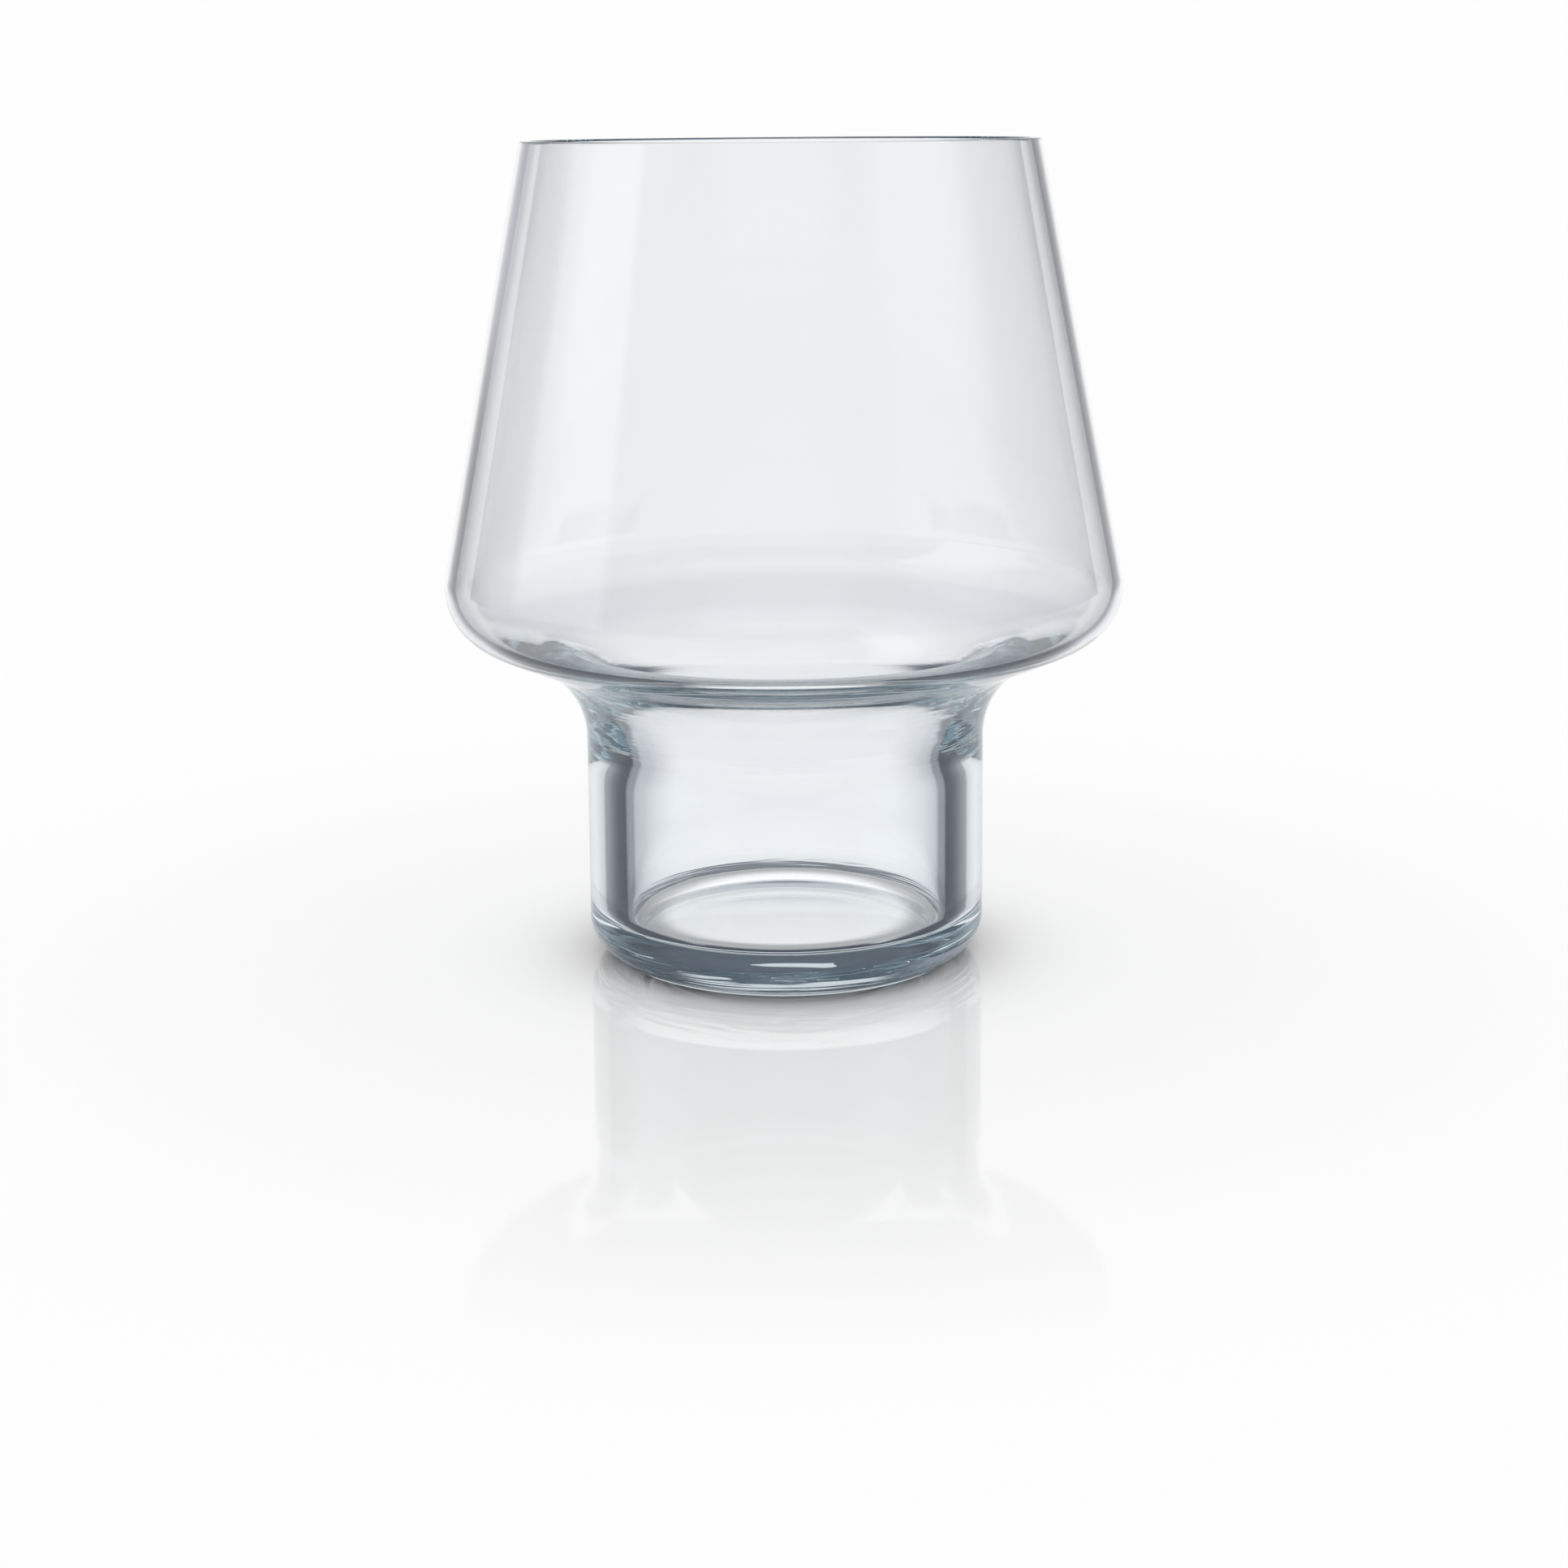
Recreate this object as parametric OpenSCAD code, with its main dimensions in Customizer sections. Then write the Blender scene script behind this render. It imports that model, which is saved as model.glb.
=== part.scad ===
// Lamp-shaped flower vase of clear glass.
// One gather of glass, blown in a mould: a thin cone bell with a rounded shoulder stands on a hollow neck and a
// thick-walled round foot. The body is divided into zones at the levels where its form changes.
// The origin is at the middle of the standing ring, on the table. Z points up.

/* [Bell] */
// Height of the vase, from the table to the rim
height = 210; // [195:1:240]
// Outer diameter of the rim
rim_d = 131; // [118:0.5:146]
// Diameter of the bell at its widest
bell_d = 174; // [166:1:190]
// Height of the widest place above the table
widest_z = 97.5; // [92:0.5:110]
// Outer rounding of the shoulder
shoulder_r = 15; // [12:0.5:18]
// Thickness of the bell's wall
bell_wall = 2.7; // [1.8:0.1:4]
// Slope of the bell's underside, in degrees
underside_slope = 23.5; // [18:0.5:28]
// Slope of the bell's floor inside, in degrees. It is less than the underside's, so the glass thickens to the neck
floor_slope = 17; // [14:0.5:20]

/* [Rim] */
// Depth of the ground and polished zone at the rim
rim_depth = 3; // [2:0.5:6]
// Width of the fine bevels on the rim's two edges
rim_bevel = 0.35; // [0.1:0.05:0.8]

/* [Neck] */
// Outer hollow rounding between the foot and the underside
neck_r = 22.5; // [17:0.5:26]
// Inner rounding by which the throat opens out of the foot's bore
throat_r = 45; // [38:1:52]
// Lean at which the throat turns over into its lip, in degrees
throat_lean = 28; // [22:1:34]
// Rounding of the lip between the throat and the bell's floor
lip_r = 22; // [16:1:28]

/* [Foot] */
// Outer diameter of the foot
foot_d = 103; // [96:0.5:110]
// Thickness of the foot's wall
foot_wall = 9.6; // [7:0.1:12]
// Thickness of the solid base, over the standing ring
base_t = 10.2; // [8:0.1:14]
// Rounding inside, between the bore and the base
bore_corner_r = 4; // [2:0.5:6]
// Rounding of the foot's lower edge
foot_edge_r = 10.5; // [6:0.5:12]
// Width of the flat ring on which the vase stands
ring_w = 2.5; // [1.5:0.5:6]
// Rise of the shallow hollow under the base
hollow_rise = 0.7; // [0.4:0.1:2]

/* [Hidden] */
$fn = 180;
wide_arc_fn = 10 * $fn;
glass = [0.80, 0.86, 0.88, 0.45];

// Radii from the axis
rim_r = rim_d / 2;
foot_r = foot_d / 2;
bore_r = foot_r - foot_wall;
hollow_r = foot_r - foot_edge_r - ring_w;

// The outer outline is a chain of lines and arcs. Points are [radius, height].
rim_point = [rim_r, height];
shoulder_centre = [bell_d / 2 - shoulder_r, widest_z];
rim_offset = rim_point - shoulder_centre;

// The cone's outward direction is square to the tangent from the rim to the shoulder
cone_angle = atan2(rim_offset.y, rim_offset.x) - acos(shoulder_r / norm(rim_offset));
cone_out = [cos(cone_angle), sin(cone_angle)];
under_out = [sin(underside_slope), -cos(underside_slope)];
shoulder_top = shoulder_centre + shoulder_r * cone_out;
shoulder_bottom = shoulder_centre + shoulder_r * under_out;

// The neck's hollow rounding touches both the underside and the foot's wall
neck_x = foot_r + neck_r;
neck_z = shoulder_bottom.y + neck_r * under_out.y
    - (shoulder_bottom.x + neck_r * under_out.x - neck_x) * tan(underside_slope);
neck_centre = [neck_x, neck_z];
neck_top = neck_centre - neck_r * under_out;

// Inside, the shoulder's rounding has the same centre, and the bell's floor touches it
shoulder_inner_r = shoulder_r - bell_wall;
floor_out = [sin(floor_slope), -cos(floor_slope)];
inner_top = shoulder_centre + shoulder_inner_r * cone_out;
inner_bottom = shoulder_centre + shoulder_inner_r * floor_out;
mouth_r = rim_r - bell_wall / cone_out.x;

// The throat swells out of the bore and turns over in the lip, which touches the bell's floor
lip_inset = throat_r - lip_r;
throat_x = bore_r + throat_r;
throat_z = shoulder_centre.y + ((throat_x - shoulder_centre.x) * floor_out.x
    - shoulder_inner_r - lip_r - lip_inset * sin(floor_slope + throat_lean)) / cos(floor_slope);
throat_centre = [throat_x, throat_z];
throat_in = [-cos(throat_lean), sin(throat_lean)];
throat_top = throat_centre + throat_r * throat_in;
lip_centre = throat_centre + lip_inset * throat_in;
lip_top = lip_centre - lip_r * floor_out;

// Levels at which the zones meet
rim_level = height - rim_depth;
shoulder_level = shoulder_top.y;
neck_level = neck_top.y;
foot_level = neck_z;
base_level = base_t + bore_corner_r;

// Half section of the space that the vase's outside fills
module outside() {
    difference() {
        union() {
            translate([0, foot_edge_r]) square([foot_r, neck_z - foot_edge_r]);
            square([foot_r - foot_edge_r, neck_z]);
            translate([foot_r - foot_edge_r, foot_edge_r]) circle(foot_edge_r);
            polygon([[0, neck_z], neck_centre, neck_top, [0, neck_level]]);
            polygon([[0, neck_level], neck_top, shoulder_bottom, shoulder_centre,
                shoulder_top, rim_point, [0, height]]);
            translate(shoulder_centre) circle(shoulder_r);
        }
        translate(neck_centre) circle(neck_r);
    }
}

// Half section of the bell's hollow, above the lip
module bell_hollow() {
    polygon([[0, lip_top.y], lip_top, inner_bottom, shoulder_centre, inner_top, [mouth_r, height], [0, height]]);
    translate(shoulder_centre) circle(shoulder_inner_r);
}

// Half section of the throat, below the lip's top
module throat() {
    difference() {
        polygon([[0, throat_top.y], throat_top, lip_centre, lip_top, [0, lip_top.y]]);
        translate(lip_centre) circle(lip_r);
    }
    difference() {
        polygon([[0, throat_z], throat_centre, throat_top, [0, throat_top.y]]);
        translate(throat_centre) circle(throat_r);
    }
}

// Half section of the foot's bore, with its rounded corner
module bore() {
    translate([0, base_level]) square([bore_r, throat_z - base_level]);
    translate([0, base_t]) square([bore_r - bore_corner_r, throat_z - base_t]);
    translate([bore_r - bore_corner_r, base_level]) circle(bore_corner_r);
}

// Half section of the shallow hollow under the base, part of a wide sphere
module hollow() {
    hollow_sphere_r = (hollow_r * hollow_r + hollow_rise * hollow_rise) / (2 * hollow_rise);
    intersection() {
        translate([0, hollow_rise - hollow_sphere_r]) circle(hollow_sphere_r, $fn = wide_arc_fn);
        square([hollow_r, hollow_rise]);
    }
}

// Half sections of the two fine bevels on the rim, each a small corner triangle
module bevels() {
    mouth_point = [mouth_r, height];
    down_cone = [cone_out.y, -cone_out.x];
    polygon([rim_point - [rim_bevel, 0], rim_point, rim_point + rim_bevel * down_cone]);
    polygon([mouth_point + [rim_bevel, 0], mouth_point, mouth_point + rim_bevel * down_cone]);
}

// One zone of the glass, between two levels
module zone(low, high) {
    color(glass) rotate_extrude() intersection() {
        difference() {
            outside();
            bell_hollow();
            throat();
            bore();
            hollow();
            bevels();
        }
        translate([0, low]) square([bell_d, high - low]);
    }
}

module rim() {
    zone(rim_level, height);
}

module bell() {
    zone(shoulder_level, rim_level);
}

module shoulder() {
    zone(neck_level, shoulder_level);
}

module neck() {
    zone(foot_level, neck_level);
}

module foot_wall() {
    zone(base_level, foot_level);
}

module foot_base() {
    zone(0, base_level);
}

rim();
bell();
shoulder();
neck();
foot_wall();
foot_base();
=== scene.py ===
# %% [markdown]
# # A lamp-shaped glass vase
# The real vase is one piece of clear glass, blown in a mould: a thin cone bell stands on a hollow neck and a
# thick-walled round foot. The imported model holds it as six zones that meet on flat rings. Glass shows every
# inner surface, so here the zones are replaced by one seamless skin, turned like a pot on a wheel.

# %% Load the frame
import math

import bmesh
import bpy
from mathutils import Matrix, Vector


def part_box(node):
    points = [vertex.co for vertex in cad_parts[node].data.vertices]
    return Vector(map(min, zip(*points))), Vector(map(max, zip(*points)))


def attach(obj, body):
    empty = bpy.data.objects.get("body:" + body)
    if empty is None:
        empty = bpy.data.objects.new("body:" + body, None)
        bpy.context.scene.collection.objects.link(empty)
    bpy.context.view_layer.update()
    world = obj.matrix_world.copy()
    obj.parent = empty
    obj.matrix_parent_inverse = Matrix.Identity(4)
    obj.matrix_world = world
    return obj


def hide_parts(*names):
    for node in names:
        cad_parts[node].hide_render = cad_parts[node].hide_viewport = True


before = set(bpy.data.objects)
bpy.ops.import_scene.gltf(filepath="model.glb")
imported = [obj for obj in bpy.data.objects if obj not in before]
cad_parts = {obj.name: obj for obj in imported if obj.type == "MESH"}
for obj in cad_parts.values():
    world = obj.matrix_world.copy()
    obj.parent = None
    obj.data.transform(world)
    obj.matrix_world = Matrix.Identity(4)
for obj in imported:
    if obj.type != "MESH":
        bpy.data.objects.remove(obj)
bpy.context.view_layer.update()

# %% [markdown]
# ## Sizes
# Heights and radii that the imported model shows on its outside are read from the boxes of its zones. Wall
# thicknesses and roundings lie inside the glass or between zones, so they are named here in millimetres,
# as the vase's drawing gives them.

# %% Sizes of the outside, from the frame
MM = 0.001


def outer_radius(node):
    """Largest radius of a zone, in metres."""
    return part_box(node)[1].x


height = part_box("rim")[1].z
widest_r = outer_radius("shoulder")
foot_r = outer_radius("foot_wall")
cone_low = Vector((outer_radius("bell"), 0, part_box("bell")[0].z))
cone_high = Vector((outer_radius("rim"), 0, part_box("rim")[0].z))
cone_lean = math.atan2(cone_low.x - cone_high.x, cone_high.z - cone_low.z)
rim_r = cone_high.x - (height - cone_high.z) * math.tan(cone_lean)
print(f"height {height / MM:.1f} mm, rim {2 * rim_r / MM:.1f}, widest {2 * widest_r / MM:.1f}, "
      f"foot {2 * foot_r / MM:.1f}, cone leans {math.degrees(cone_lean):.2f} degrees")

# %% Thicknesses and roundings of the glass
bell_wall = 2.7 * MM
foot_wall = 9.6 * MM
base_thickness = 10.2 * MM
shoulder_round = 15.0 * MM
neck_round = 22.5 * MM
throat_round = 45.0 * MM
throat_lean = math.radians(28)
lip_round = 22.0 * MM
inner_slope = math.radians(17)
foot_edge_round = 10.5 * MM
bore_corner_round = 4.0 * MM
rim_bevel = 0.35 * MM
standing_ring_width = 2.5 * MM
hollow_rise = 0.7 * MM
underside_slope = math.radians(23.5)

# %% [markdown]
# ## The outline
# A turned form is half a section, spun round its axis. The outline is drawn with a pen: a straight stretch
# extrudes the last vertex and moves it, and a round stretch spins that vertex about the centre of its arc, so
# every rounding is a true arc that touches its neighbours. All points lie in the plane y = 0.


# %% A pen made of bmesh operators
def start_outline():
    """A bmesh with one vertex, and that vertex as the pen's tip."""
    mesh = bmesh.new()
    return mesh, mesh.verts.new()


def line_to(mesh, tip, point, steps=1):
    """Draws a straight stretch to point in equal steps."""
    start = tip.co.copy()
    for step in range(1, steps + 1):
        tip = bmesh.ops.extrude_vert_indiv(mesh, verts=[tip])["verts"][0]
        tip.co = start.lerp(point, step / steps)
    return tip


def arc_about(mesh, tip, centre, angle, steps):
    """Draws an arc about centre. A positive angle turns from +X towards +Z."""
    spun = bmesh.ops.spin(mesh, geom=[tip], cent=centre, axis=(0, -1, 0), angle=angle, steps=steps)
    return next(part for part in spun["geom_last"] if isinstance(part, bmesh.types.BMVert))


def at(radius, level):
    """A point of the half section."""
    return Vector((radius, 0, level))


# %% [markdown]
# The centres of the arcs follow from the sizes. Each rounding touches two straight stretches, so its centre
# lies at its radius from both. A straight stretch is known by its outward direction and its distance from
# the origin in that direction.

# %% Centres of the roundings
cone_out = at(math.cos(cone_lean), math.sin(cone_lean))
under_out = at(math.sin(underside_slope), -math.cos(underside_slope))
cone_shift = cone_out.dot(at(rim_r, height))
widest_level = (cone_shift - shoulder_round - cone_out.x * (widest_r - shoulder_round)) / cone_out.z
shoulder_centre = at(widest_r - shoulder_round, widest_level)
under_shift = under_out.dot(shoulder_centre) + shoulder_round
neck_x = foot_r + neck_round
neck_centre = at(neck_x, (under_shift + neck_round - under_out.x * neck_x) / under_out.z)

shoulder_inner_round = shoulder_round - bell_wall
bore_r = foot_r - foot_wall
floor_out = at(math.sin(inner_slope), -math.cos(inner_slope))
lip_inset = throat_round - lip_round
throat_x = bore_r + throat_round
throat_level = shoulder_centre.z + (
    (throat_x - shoulder_centre.x) * floor_out.x - shoulder_inner_round - lip_round
    - lip_inset * math.sin(inner_slope + throat_lean)) / math.cos(inner_slope)
throat_centre = at(throat_x, throat_level)
lip_centre = throat_centre + lip_inset * at(-math.cos(throat_lean), math.sin(throat_lean))
mouth_r = rim_r - bell_wall / cone_out.x
ring_inner_r = foot_r - foot_edge_round - standing_ring_width
print(f"widest at {widest_level / MM:.1f} mm, neck starts at {neck_centre.z / MM:.1f} mm, "
      f"bore {2 * bore_r / MM:.1f} mm, throat opens from {throat_level / MM:.1f} mm")

# %% [markdown]
# The pen starts on the axis under the base, runs out along the shallow hollow, up the whole outside, over the
# ground rim and down the inside to the axis again. Steps are close where the glass bends, because refraction
# shows every facet there.


# %% Draw the outline
def draw_vase_outline():
    """The closed half section of the glass."""
    right_angle = math.pi / 2
    bend = right_angle - underside_slope
    turn = cone_lean + bend
    down_cone = at(cone_out.z, -cone_out.x)
    mesh, tip = start_outline()
    hollow_sphere = (ring_inner_r ** 2 + hollow_rise ** 2) / (2 * hollow_rise)
    hollow_turn = -math.asin(ring_inner_r / hollow_sphere)
    tip.co = at(0, hollow_rise)
    tip = arc_about(mesh, tip, at(0, hollow_rise - hollow_sphere), hollow_turn, 16)
    tip = line_to(mesh, tip, at(foot_r - foot_edge_round, 0), 2)
    tip = arc_about(mesh, tip, at(foot_r - foot_edge_round, foot_edge_round), right_angle, 24)
    tip = line_to(mesh, tip, at(foot_r, neck_centre.z), 24)
    tip = arc_about(mesh, tip, neck_centre, -bend, 36)
    tip = line_to(mesh, tip, shoulder_centre + shoulder_round * under_out, 10)
    tip = arc_about(mesh, tip, shoulder_centre, turn, 32)
    tip = line_to(mesh, tip, at(rim_r, height) + rim_bevel * down_cone, 24)
    tip = line_to(mesh, tip, at(rim_r - rim_bevel, height))
    tip = line_to(mesh, tip, at(mouth_r + rim_bevel, height))
    tip = line_to(mesh, tip, at(mouth_r, height) + rim_bevel * down_cone)
    tip = line_to(mesh, tip, shoulder_centre + shoulder_inner_round * cone_out, 24)
    tip = arc_about(mesh, tip, shoulder_centre, inner_slope - right_angle - cone_lean, 28)
    tip = line_to(mesh, tip, lip_centre - lip_round * floor_out, 8)
    tip = arc_about(mesh, tip, lip_centre, right_angle - inner_slope - throat_lean, 28)
    tip = arc_about(mesh, tip, throat_centre, throat_lean, 12)
    tip = line_to(mesh, tip, at(bore_r, base_thickness + bore_corner_round), 20)
    tip = arc_about(mesh, tip, at(bore_r - bore_corner_round, base_thickness + bore_corner_round),
                    -right_angle, 14)
    line_to(mesh, tip, at(0, base_thickness), 16)
    return mesh


outline = draw_vase_outline()
print(f"outline of {len(outline.verts)} points")

# %% [markdown]
# ## Spin the outline
# One full spin makes the skin. `use_merge` closes the seam, and merging doubles closes the two poles on the
# axis. Only the edges of the ground rim stay sharp.

# %% Turn the half section into the vase
AROUND = 256
weld_distance = 0.001 * MM
sharp_angle = math.radians(30)


def spin_vase(mesh):
    """Spins the outline once round Z and closes it."""
    bmesh.ops.spin(mesh, geom=mesh.verts[:] + mesh.edges[:], cent=(0, 0, 0), axis=(0, 0, 1),
                   angle=2 * math.pi, steps=AROUND, use_merge=True)
    bmesh.ops.remove_doubles(mesh, verts=mesh.verts[:], dist=weld_distance)
    bmesh.ops.recalc_face_normals(mesh, faces=mesh.faces[:])


def finished_object(name, mesh):
    """A smooth-shaded object from a bmesh, at the origin."""
    for face in mesh.faces:
        face.smooth = True
    for edge in mesh.edges:
        edge.smooth = len(edge.link_faces) != 2 or edge.calc_face_angle() < sharp_angle
    data = bpy.data.meshes.new(name)
    mesh.to_mesh(data)
    mesh.free()
    piece = bpy.data.objects.new(name, data)
    bpy.context.scene.collection.objects.link(piece)
    return piece


spin_vase(outline)
volume = outline.calc_volume()
open_edges = sum(len(edge.link_faces) != 2 for edge in outline.edges)
vase = finished_object("glass_vase", outline)
print(f"{len(vase.data.polygons)} faces, {open_edges} open edges, {volume * 1e6:.0f} cubic centimetres")

# %% Put the vase on the frame
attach(vase, "root")
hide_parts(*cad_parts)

# %% [markdown]
# ## Clear glass
# Soda-lime glass bends light with an index of about 1.51 and is nearly colourless in a thin wall. Where light
# runs a long way inside it, as in the foot and the base, it turns a faint blue-green, so the colour belongs
# in the volume and not on the surface.

# %% The glass
glass = bpy.data.materials.new("clear_glass")
glass.use_nodes = True
glass_nodes = glass.node_tree.nodes
glass_links = glass.node_tree.links
surface = glass_nodes["Principled BSDF"]
surface.inputs["Base Color"].default_value = (1, 1, 1, 1)
surface.inputs["Transmission Weight"].default_value = 1
surface.inputs["Roughness"].default_value = 0
surface.inputs["IOR"].default_value = 1.51
tint = glass_nodes.new("ShaderNodeVolumeAbsorption")
tint.inputs["Color"].default_value = (0.20, 0.44, 0.54, 1)
tint.inputs["Density"].default_value = 5
glass_links.new(tint.outputs["Volume"], glass_nodes["Material Output"].inputs["Volume"])
vase.data.materials.append(glass)

# %% [markdown]
# ## Ripples of the turned glass
# The gather is turned while it is blown, so faint ripples run round the neck and round the foot's lower edge.
# They are finer than a mesh should carry, so they are a bump in the material: a noise that changes slowly
# round the vase and quickly along its skin.

# %% Noise in layers along the skin
RIPPLES_PER_METRE = 300
ROUND_SCALE = 24
RIPPLE_SWIRL = 1.2
RIPPLE_DEPTH = 0.28 * MM
place = glass_nodes.new("ShaderNodeTexCoord")
split = glass_nodes.new("ShaderNodeSeparateXYZ")
glass_links.new(place.outputs["Object"], split.inputs["Vector"])


def glass_math(operation, first, second):
    """A maths node of the glass; each value is a socket or a number."""
    node = glass_nodes.new("ShaderNodeMath")
    node.operation = operation
    for socket, value in zip(node.inputs, (first, second)):
        if isinstance(value, bpy.types.NodeSocket):
            glass_links.new(value, socket)
        else:
            socket.default_value = value
    return node.outputs[0]


x, y, z = (split.outputs[axis] for axis in "XYZ")
from_axis_squared = glass_math("ADD", glass_math("MULTIPLY", x, x), glass_math("MULTIPLY", y, y))
from_axis = glass_math("SQRT", from_axis_squared, 0)
along_skin = glass_math("ADD", z, from_axis)
layers = glass_nodes.new("ShaderNodeCombineXYZ")
glass_links.new(glass_math("MULTIPLY", x, ROUND_SCALE), layers.inputs["X"])
glass_links.new(glass_math("MULTIPLY", y, ROUND_SCALE), layers.inputs["Y"])
glass_links.new(glass_math("MULTIPLY", along_skin, RIPPLES_PER_METRE), layers.inputs["Z"])
ripple = glass_nodes.new("ShaderNodeTexNoise")
ripple.inputs["Scale"].default_value = 1
ripple.inputs["Detail"].default_value = 1
ripple.inputs["Distortion"].default_value = RIPPLE_SWIRL
glass_links.new(layers.outputs["Vector"], ripple.inputs["Vector"])
print(f"ripples of about {1000 / RIPPLES_PER_METRE:.1f} mm, up to {RIPPLE_DEPTH / MM:.2f} mm deep")

# %% [markdown]
# Masks keep the bell, the foot's wall and its floor smooth. Each one is a pair of soft fades along the
# height, and the mask of the lower edge also leaves out the middle of the base.


# %% Where the ripples show
def fade_between(value, none_at, full_at):
    """0 to 1 while value runs from none_at to full_at, smooth."""
    node = glass_nodes.new("ShaderNodeMapRange")
    node.interpolation_type = "SMOOTHSTEP"
    node.inputs["From Min"].default_value = none_at
    node.inputs["From Max"].default_value = full_at
    glass_links.new(value, node.inputs["Value"])
    return node.outputs[0]


neck_share = 0.12
under_bell = fade_between(z, 78 * MM, 70 * MM)
over_wall = fade_between(z, 46 * MM, 60 * MM)
under_wall = fade_between(z, 12 * MM, 8 * MM)
over_ring = fade_between(z, 1 * MM, 3 * MM)
round_base = fade_between(from_axis, 43 * MM, 45 * MM)
on_neck = glass_math("MULTIPLY", under_bell, over_wall)
on_edge = glass_math("MULTIPLY", glass_math("MULTIPLY", under_wall, over_ring), round_base)
rippled = glass_math("ADD", glass_math("MULTIPLY", on_neck, neck_share), on_edge)
relief = glass_nodes.new("ShaderNodeBump")
relief.inputs["Distance"].default_value = RIPPLE_DEPTH
glass_links.new(glass_math("MULTIPLY", ripple.outputs[0], rippled), relief.inputs["Height"])
glass_links.new(relief.outputs["Normal"], surface.inputs["Normal"])

# %% [markdown]
# ## Camera
# The photograph is taken from just above the rim, which shows as a flat line, and from about 0.7 m away.
# Tilt, roll and lens come from a fit of the vase's outline to the photograph's.

# %% The camera
camera_distance = 0.70
camera_height = 0.216
camera_tilt = math.radians(9.93)
camera_roll = math.radians(-0.45)
camera = bpy.data.objects.new("camera", bpy.data.cameras.new("camera"))
bpy.context.scene.collection.objects.link(camera)
bpy.context.scene.camera = camera
camera.data.lens = 63.1
camera.data.shift_y = -0.12
camera.matrix_world = (
    Matrix.Translation((0, -camera_distance, camera_height))
    @ Matrix.Rotation(math.radians(90) - camera_tilt, 4, "X")
    @ Matrix.Rotation(camera_roll, 4, "Z")
)

# %% [markdown]
# ## White floor and page
# The vase stands on a white floor under an even white sky. Floor and sky have the same brightness, so no
# horizon shows. The photograph mirrors the vase faintly in the floor, so the paper has a polished sheen near
# the vase, which fades with the distance. Light that passes through the glass on its way to the eye doesn't
# see the floor but the studio that follows.

# %% Floor and sky
floor_radius = 6.0
page_white = 0.99
sheen_near = 100 * MM
sheen_far = 275 * MM
sheen_most = 0.24
floor_mesh = bmesh.new()
bmesh.ops.create_circle(floor_mesh, cap_ends=True, segments=64, radius=floor_radius)
floor = finished_object("floor", floor_mesh)
floor.visible_transmission = False
paper = bpy.data.materials.new("white_paper")
paper.use_nodes = True
paper_surface = paper.node_tree.nodes["Principled BSDF"]
paper_surface.inputs["Base Color"].default_value = (1, 1, 1, 1)
paper_surface.inputs["Roughness"].default_value = 1
paper_surface.inputs["Specular IOR Level"].default_value = 0
paper_nodes = paper.node_tree.nodes
paper_links = paper.node_tree.links
sheen = paper_nodes.new("ShaderNodeBsdfGlossy")
sheen.inputs["Roughness"].default_value = 0.04
paper_place = paper_nodes.new("ShaderNodeTexCoord")
paper_distance = paper_nodes.new("ShaderNodeVectorMath")
paper_distance.operation = "LENGTH"
paper_links.new(paper_place.outputs["Object"], paper_distance.inputs[0])
sheen_share = paper_nodes.new("ShaderNodeMapRange")
sheen_share.interpolation_type = "SMOOTHSTEP"
sheen_share.inputs["From Min"].default_value = sheen_near
sheen_share.inputs["From Max"].default_value = sheen_far
sheen_share.inputs["To Min"].default_value = sheen_most
sheen_share.inputs["To Max"].default_value = 0
paper_links.new(paper_distance.outputs["Value"], sheen_share.inputs["Value"])
paper_mix = paper_nodes.new("ShaderNodeMixShader")
paper_links.new(sheen_share.outputs[0], paper_mix.inputs[0])
paper_links.new(paper_surface.outputs[0], paper_mix.inputs[1])
paper_links.new(sheen.outputs[0], paper_mix.inputs[2])
paper_links.new(paper_mix.outputs[0], paper_nodes["Material Output"].inputs["Surface"])
floor.data.materials.append(paper)
world = bpy.data.worlds.new("white_sky")
bpy.context.scene.world = world
world.use_nodes = True
sky = world.node_tree.nodes["Background"]
sky.inputs["Color"].default_value = (1, 1, 1, 1)
sky.inputs["Strength"].default_value = page_white

# %% [markdown]
# ## The studio that the glass sees
# Clear glass shows little of its own: it bends and mirrors the room. The photograph's studio has a white
# backdrop, a bright softbox on the left with a weaker one on the right, dark flags beside the backdrop that
# draw the dark edges, a white table and soft lamps overhead. A large dome round the vase carries them as a
# colour attribute, because soft patches in given directions are easy to name and to move there. Azimuth is in
# degrees round the vase, 0 towards the photograph's camera and positive to the left; elevation is above the
# horizon. This list began as the rounded result of a brightness fit to the photograph, edges and colours
# alike. It was then typed anew with more such fits in view, and since then every light's colour was set
# against renders. A few edges still equal the first fit's.

# %% Lights and flags on the dome
dome_radius = 3.0
room = (0.05, 0.06, 0.08)
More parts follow.
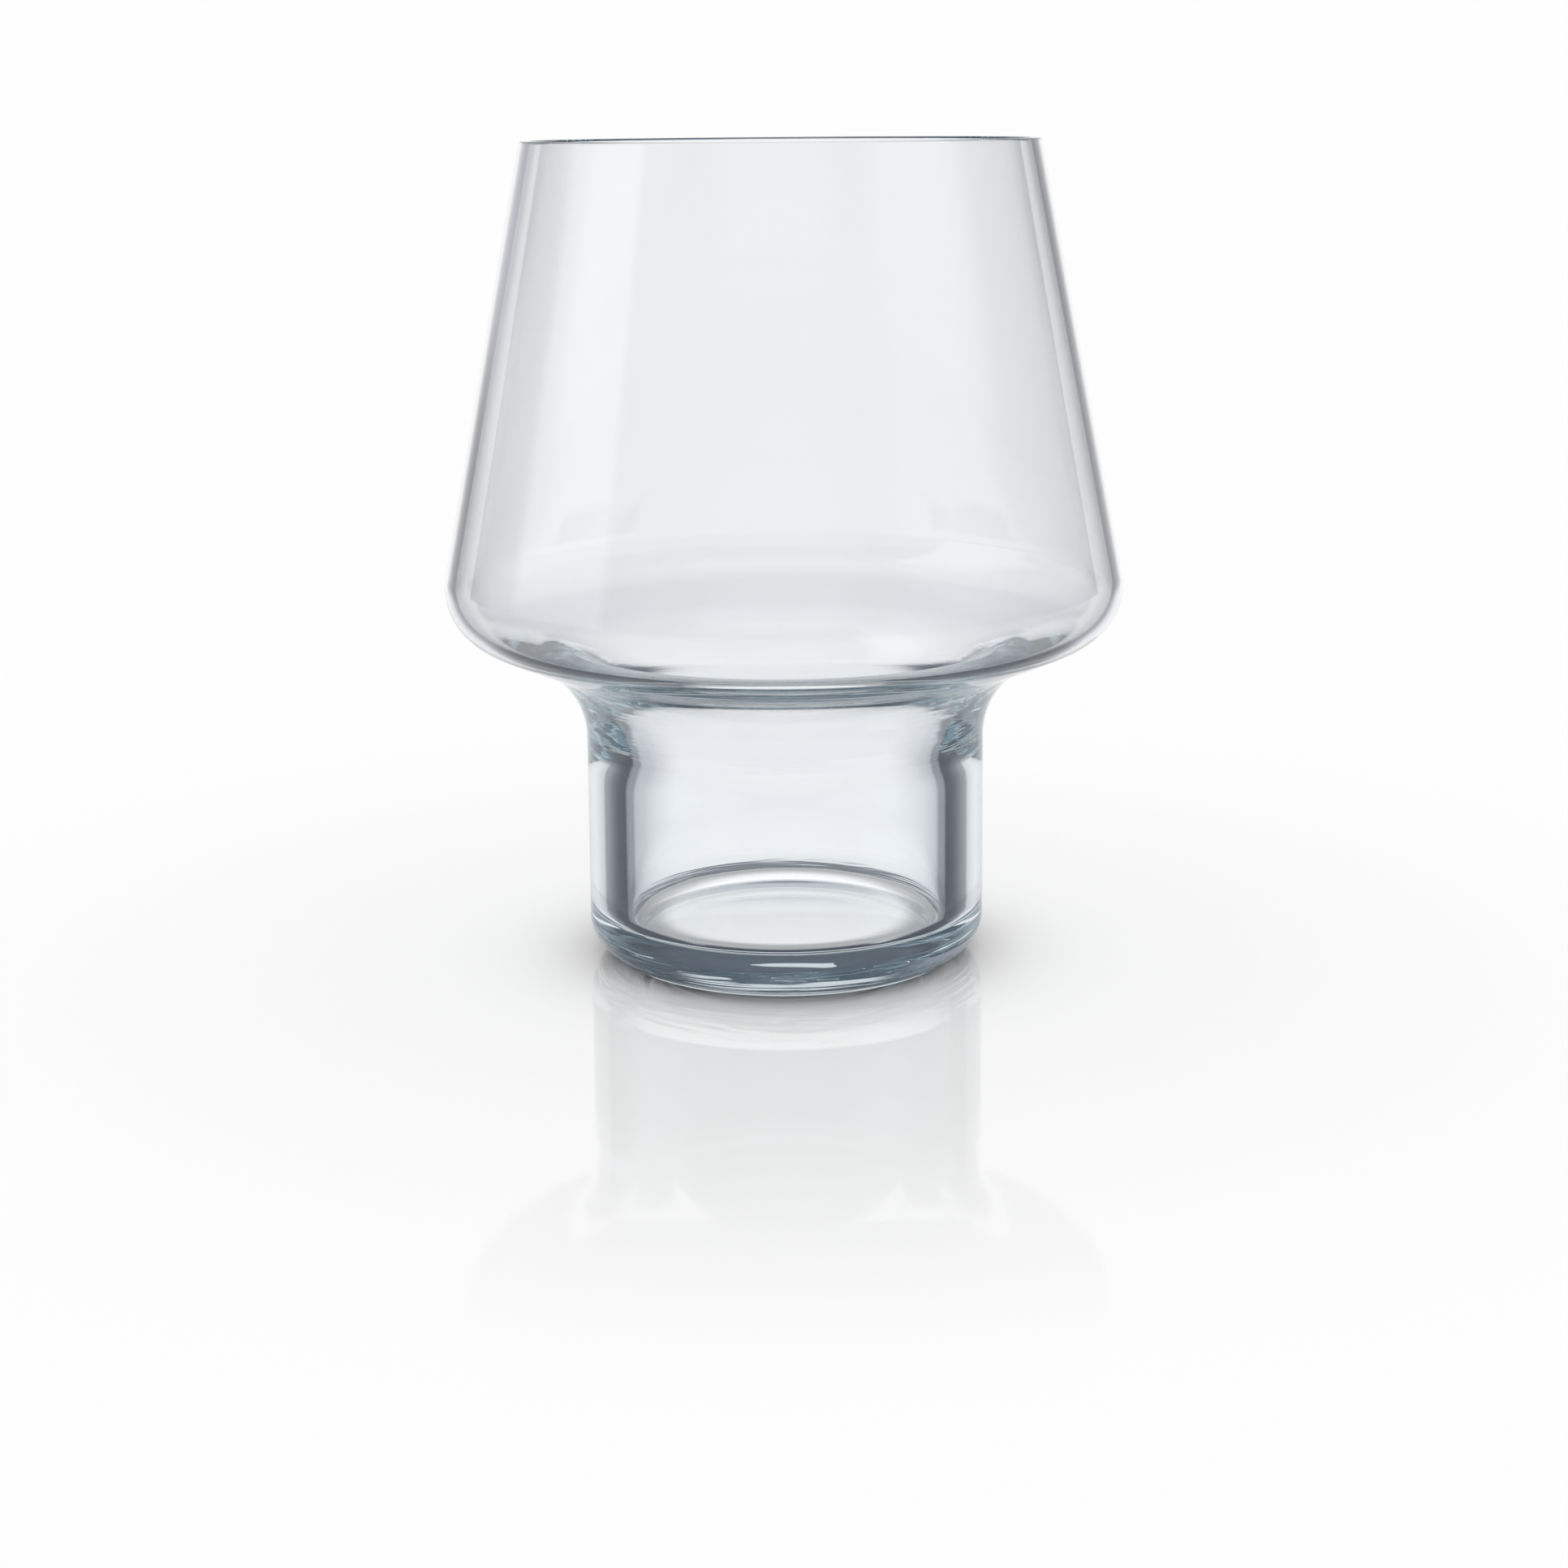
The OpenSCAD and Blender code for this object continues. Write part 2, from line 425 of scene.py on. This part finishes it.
# name, azimuth from and to, elevation from and to, softness of the side and level edges, colour
studio = [
    ("lamps over the camera", -120, 120, 66, 95, 20, 40, (0.62, 0.66, 0.70)),
    ("front wall", -124, 116, -12, 20, 14, 8, (0.32, 0.36, 0.40)),
    ("table", -100, 92, -56, -15, 24, 8, (0.84, 0.87, 0.90)),
    ("lit edge of the table", -106, 98, -22, -10, 24, 10, (0.94, 0.99, 1.04)),
    ("left softbox", 85, 108, -3, 60, 24, 8, (1.00, 1.06, 1.10)),
    ("left softbox's bright side", 62, 92, -3, 60, 4, 8, (1.02, 1.08, 1.12)),
    ("right softbox", -75, -38, -9, 24, 20, 8, (0.55, 0.60, 0.65)),
    ("camera side", -24, 30, -7, 30, 20, 12, (0.46, 0.51, 0.56)),
    ("left wall", 101, 158, 0, 14, 7, 5, (0.32, 0.33, 0.39)),
    ("high back wall", 150, 210, 6, 60, 20, 8, (0.12, 0.14, 0.17)),
    ("light spilt on the flags", 140, 220, -30, -10, 16, 5, (0.20, 0.21, 0.25)),
    ("backdrop's dim foot", 150, 210, -26, -9, 4, 4, (0.55, 0.57, 0.62)),
    ("backdrop's foot", 160, 203, -26, -9, 22, 4, (0.91, 0.92, 0.94)),
    ("backdrop", 160, 200, -12, 11, 10, 3, (0.91, 0.91, 0.92)),
    ("floor in front of the backdrop", 162, 198, -60, -28, 20, 12, (0.14, 0.16, 0.18)),
]


def soft_step(distance, softness):
    """0 to 1 across an edge, smooth, and one half on the edge."""
    share = min(max(distance / softness + 0.5, 0), 1)
    return share * share * (3 - 2 * share)


def studio_colour(azimuth, elevation):
    """Colour of the studio in one direction, the later entries covering the earlier ones."""
    colour = Vector(room)
    for _, side_from, side_to, low, high, side_soft, level_soft, light in studio:
        away = abs((azimuth - (side_from + side_to) / 2 + 180) % 360 - 180)
        cover = soft_step((side_to - side_from) / 2 - away, side_soft)
        cover *= soft_step(elevation - low, level_soft) * soft_step(high - elevation, level_soft)
        colour = colour.lerp(Vector(light), cover)
    return colour


# %% [markdown]
# The dome is a sphere whose points carry the studio's colours. It stands still, as a real studio does, so
# from other sides the glass shows other parts of it. The floor is lit by plain white instead, and its sheen
# mirrors the white page behind the vase, so that only the glass shows the studio.

# %% The dome
dome_mesh = bmesh.new()
bmesh.ops.create_uvsphere(dome_mesh, u_segments=240, v_segments=120, radius=dome_radius)
glow = dome_mesh.verts.layers.float_color.new("glow")
for vert in dome_mesh.verts:
    azimuth = math.degrees(math.atan2(-vert.co.x, -vert.co.y))
    elevation = math.degrees(math.asin(max(-1, min(1, vert.co.z / dome_radius))))
    vert[glow] = (*studio_colour(azimuth, elevation), 1)
    vert.co.z += height / 2
dome = finished_object("studio_dome", dome_mesh)
dome.visible_camera = False
dome.visible_diffuse = False
dome.visible_shadow = False
dome_light = bpy.data.materials.new("studio_light")
dome_light.use_nodes = True
dome_light.cycles.emission_sampling = "NONE"
dome_nodes = dome_light.node_tree.nodes
dome_links = dome_light.node_tree.links
dome_nodes.remove(dome_nodes["Principled BSDF"])
glow_colour = dome_nodes.new("ShaderNodeAttribute")
glow_colour.attribute_name = "glow"
emission = dome_nodes.new("ShaderNodeEmission")
dome_links.new(glow_colour.outputs["Color"], emission.inputs["Color"])
white_emission = dome_nodes.new("ShaderNodeEmission")
white_emission.inputs["Strength"].default_value = page_white
path = dome_nodes.new("ShaderNodeLightPath")
spot = dome_nodes.new("ShaderNodeTexCoord")
spot_axes = dome_nodes.new("ShaderNodeSeparateXYZ")
dome_links.new(spot.outputs["Object"], spot_axes.inputs["Vector"])


def dome_test(operation, first, second):
    """A maths node of the dome; the first value is a socket."""
    node = dome_nodes.new("ShaderNodeMath")
    node.operation = operation
    dome_links.new(first, node.inputs[0])
    if isinstance(second, bpy.types.NodeSocket):
        dome_links.new(second, node.inputs[1])
    else:
        node.inputs[1].default_value = second
    return node.outputs[0]


page_starts = 0.6 * dome_radius
lights_floor = dome_test("GREATER_THAN", path.outputs["Diffuse Depth"], 0.5)
far_behind = dome_test("GREATER_THAN", spot_axes.outputs["Y"], page_starts)
over_floor = dome_test("GREATER_THAN", spot_axes.outputs["Z"], 0)
on_page = dome_test("MULTIPLY", far_behind, over_floor)
by_mirror = dome_test("GREATER_THAN", path.outputs["Glossy Depth"], 0.5)
not_through_glass = dome_test("LESS_THAN", path.outputs["Transmission Depth"], 0.5)
mirrored = dome_test("MULTIPLY", by_mirror, not_through_glass)
page_seen = dome_test("MAXIMUM", lights_floor, dome_test("MULTIPLY", on_page, mirrored))
either = dome_nodes.new("ShaderNodeMixShader")
dome_links.new(page_seen, either.inputs[0])
dome_links.new(emission.outputs[0], either.inputs[1])
dome_links.new(white_emission.outputs[0], either.inputs[2])
dome_links.new(either.outputs[0], dome_nodes["Material Output"].inputs["Surface"])
dome.data.materials.append(dome_light)
print(f"{len(studio)} lights and flags on a dome of {len(dome.data.vertices)} points")

# %% [markdown]
# Through the thick base one sees the floor under it, bright in the middle and dim near the foot's edge, where
# little light gets in. The floor itself is hidden from light that has passed the glass, so a small lit disc
# stands in for it. It lies a little towards the backdrop, from where most of the light comes.

# %% The lit floor under the base
bright_r = 29 * MM
disc_r = 46 * MM
towards_backdrop = Vector((0, 11, -0.1)) * MM
middle_light = 1.22
light_lost = 0.74
dusk_r = 34 * MM
dusk_softness = 7 * MM
bright_floor_mesh, tip = start_outline()
tip = line_to(bright_floor_mesh, tip, at(bright_r, 0), 2)
line_to(bright_floor_mesh, tip, at(disc_r, 0), 8)
spin_vase(bright_floor_mesh)
under_glow = bright_floor_mesh.verts.layers.float_color.new("glow")
for vert in bright_floor_mesh.verts:
    light = middle_light - light_lost * soft_step(vert.co.length - dusk_r, dusk_softness)
    vert[under_glow] = (light, light, light, 1)
    vert.co += towards_backdrop
bright_floor = finished_object("floor_under_base", bright_floor_mesh)
bright_floor.visible_camera = False
bright_floor.visible_diffuse = False
bright_floor.visible_shadow = False
under_light = bpy.data.materials.new("light_under_base")
under_light.use_nodes = True
under_light.cycles.emission_sampling = "NONE"
under_surface = under_light.node_tree.nodes["Principled BSDF"]
under_surface.inputs["Base Color"].default_value = (0, 0, 0, 1)
under_surface.inputs["Specular IOR Level"].default_value = 0
under_colour = under_light.node_tree.nodes.new("ShaderNodeAttribute")
under_colour.attribute_name = "glow"
under_light.node_tree.links.new(under_colour.outputs["Color"], under_surface.inputs["Emission Color"])
under_surface.inputs["Emission Strength"].default_value = 1
bright_floor.data.materials.append(under_light)
print(f"lit disc of {2 * disc_r / MM:.0f} mm under the base")

# %% [markdown]
# The photograph has a short, soft shadow close round the foot. Clear glass hardly shades a floor that is lit
# from all sides, so a low dark ring that follows the foot's rounded edge stands in for it. Only light on its
# way to the floor meets the ring.

# %% Ring for the contact shadow
shade_gap = 0.3 * MM
shade_height = 17 * MM
shade_start = math.radians(15)
edge_centre = at(foot_r - foot_edge_round, foot_edge_round)
shade_ring, tip = start_outline()
tip.co = edge_centre + (foot_edge_round + shade_gap) * at(math.sin(shade_start), -math.cos(shade_start))
tip = arc_about(shade_ring, tip, edge_centre, math.pi / 2 - shade_start, 12)
line_to(shade_ring, tip, at(foot_r + shade_gap, shade_height))
spin_vase(shade_ring)
contact_shade = finished_object("contact_shade", shade_ring)
contact_shade.visible_camera = False
contact_shade.visible_glossy = False
contact_shade.visible_transmission = False
shade_black = bpy.data.materials.new("shade_black")
shade_black.use_nodes = True
shade_surface = shade_black.node_tree.nodes["Principled BSDF"]
shade_surface.inputs["Base Color"].default_value = (0, 0, 0, 1)
shade_surface.inputs["Specular IOR Level"].default_value = 0
contact_shade.data.materials.append(shade_black)
print(f"contact ring up to {shade_height / MM:.0f} mm, {shade_gap / MM:.1f} mm off the glass")

# %% [markdown]
# ## View and light paths
# Light bounces many times inside the thick foot before it leaves, so the limits are high. Sharp glass stays
# sharp without the blur that would calm its bright specks.

# %% View and light paths
scene = bpy.context.scene
scene.view_settings.view_transform = "Standard"
scene.cycles.blur_glossy = 0
scene.cycles.max_bounces = 96
scene.cycles.transmission_bounces = 96
scene.cycles.glossy_bounces = 96
scene.cycles.transparent_max_bounces = 32
